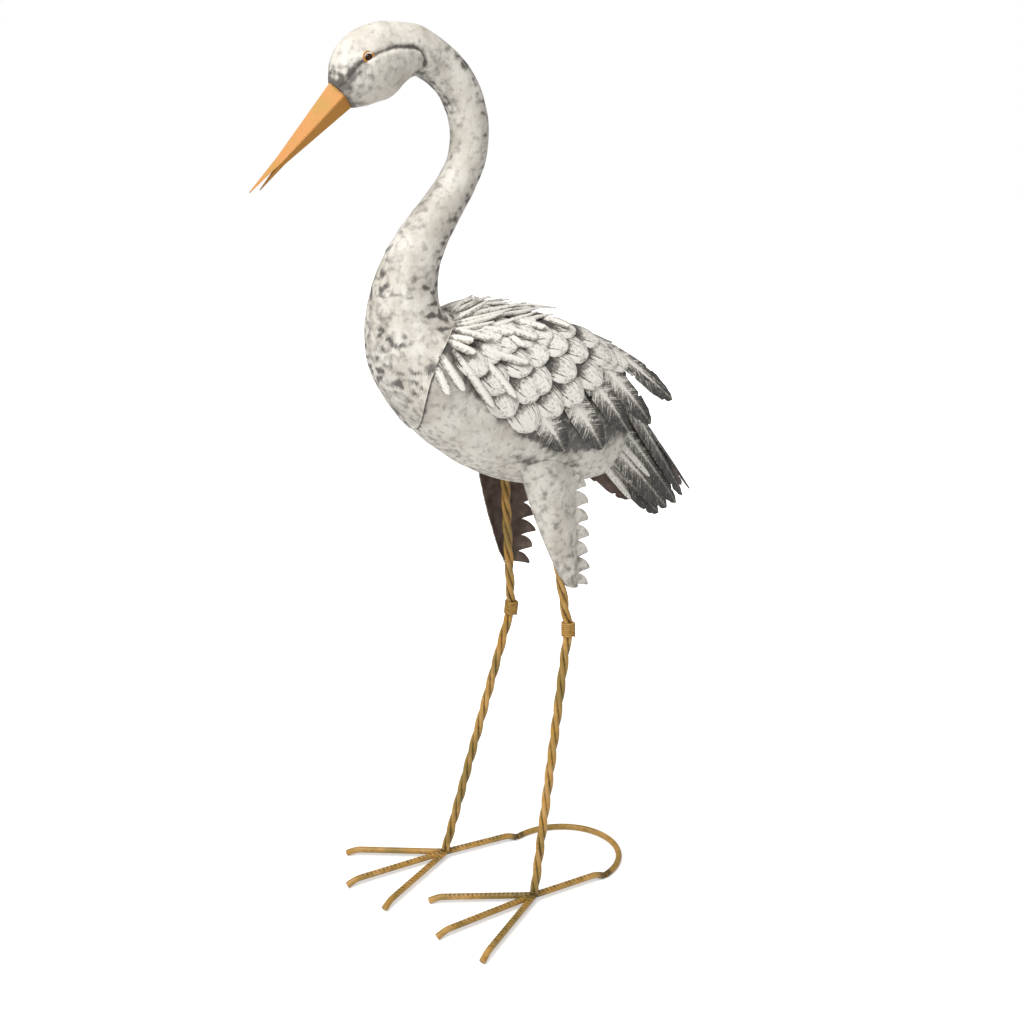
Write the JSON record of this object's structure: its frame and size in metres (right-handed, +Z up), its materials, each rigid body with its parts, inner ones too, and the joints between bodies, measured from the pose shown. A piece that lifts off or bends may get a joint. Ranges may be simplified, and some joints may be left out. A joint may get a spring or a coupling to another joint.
{
  "type": "metal stork statue",
  "caption": "Walking stork garden statue in painted sheet steel, with layered feather plates, a parted beak and twisted rod legs on splayed toes.",
  "frame": {"origin": "centre of the bounding box on the ground", "axes": "+Z up along the height; the bird looks along -Y and its left side is +X"},
  "size_m": [0.2886, 0.5546, 1.0454],
  "materials": {
    "antique_white_paint": "antiqued off-white paint with dark grey smudges",
    "grey_feather_paint": "pale grey paint dry-brushed white over dark slits and tips",
    "golden_ochre_paint": "golden ochre paint with olive brown in the grooves",
    "beak_orange_paint": "light orange paint with a dark wash",
    "eye_glass": "dark brown glass bead"
  },
  "bodies": {
    "root": {"beak": "beak_orange_paint", "body": "antique_white_paint", "left_back_toe": "golden_ochre_paint", "left_eye": "eye_glass", "left_eye_ring": "beak_orange_paint", "left_inner_toe": "golden_ochre_paint", "left_knee_collar": "golden_ochre_paint", "left_leg": "golden_ochre_paint", "left_middle_toe": "golden_ochre_paint", "left_outer_toe": "golden_ochre_paint", "left_thigh": "antique_white_paint", "left_wing": "grey_feather_paint", "neck_and_head": "antique_white_paint", "rear_stay": "golden_ochre_paint", "right_back_toe": "golden_ochre_paint", "right_eye": "eye_glass", "right_eye_ring": "beak_orange_paint", "right_inner_toe": "golden_ochre_paint", "right_knee_collar": "golden_ochre_paint", "right_leg": "golden_ochre_paint", "right_middle_toe": "golden_ochre_paint", "right_outer_toe": "golden_ochre_paint", "right_thigh": "antique_white_paint", "right_wing": "grey_feather_paint", "shoulder_hackles": "antique_white_paint", "tail": "grey_feather_paint"}
  },
  "joints": []
}
